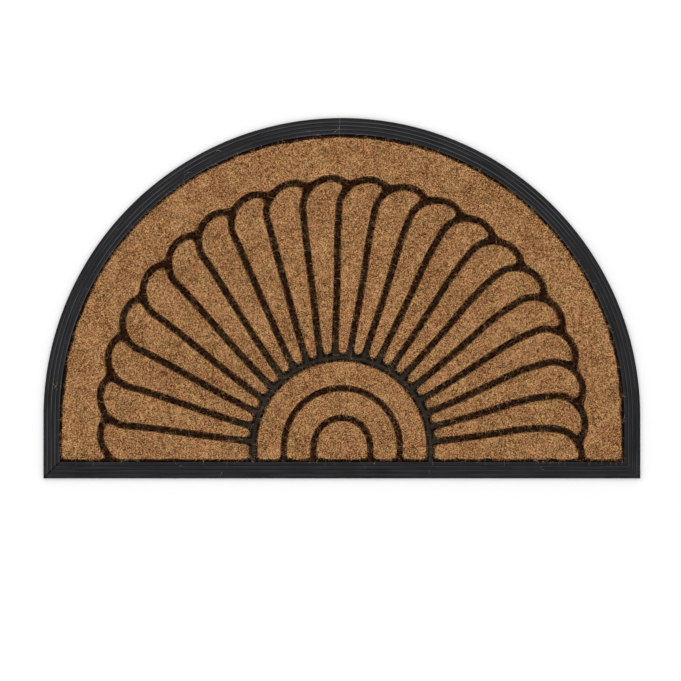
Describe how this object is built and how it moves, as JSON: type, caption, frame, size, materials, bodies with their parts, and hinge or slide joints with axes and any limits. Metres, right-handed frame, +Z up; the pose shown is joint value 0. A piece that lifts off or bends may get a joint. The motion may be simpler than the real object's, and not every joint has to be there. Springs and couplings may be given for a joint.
{
  "type": "coir doormat",
  "caption": "Half-round doormat: tan coir pile in a scallop-shell sunburst of petals and nested arches, set in a black rubber tray with a ridged sloping border.",
  "frame": {"origin": "middle of the footprint, on the underside", "axes": "+X along the straight edge, +Y from the straight edge to the crown of the arch, +Z up out of the pile"},
  "size_m": [0.75, 0.453, 0.015],
  "materials": {
    "rubber": "moulded black rubber, matte with a faint sheen on the border ridges",
    "coir": "short upright coconut fibre pile, tan with darker and lighter strands"
  },
  "bodies": {
    "root": {"rubber_tray": "rubber", "coir_surround": "coir", "coir_ring_outer": "coir", "coir_ring_inner": "coir", "coir_core": "coir", "coir_petal_01": "coir", "coir_petal_02": "coir", "coir_petal_03": "coir", "coir_petal_04": "coir", "coir_petal_05": "coir", "coir_petal_06": "coir", "coir_petal_07": "coir", "coir_petal_08": "coir", "coir_petal_09": "coir", "coir_petal_10": "coir", "coir_petal_11": "coir", "coir_petal_12": "coir", "coir_petal_13": "coir", "coir_petal_14": "coir", "coir_petal_15": "coir", "coir_petal_16": "coir", "coir_petal_17": "coir", "coir_petal_18": "coir", "coir_petal_19": "coir", "coir_petal_20": "coir", "coir_petal_21": "coir"}
  },
  "joints": []
}
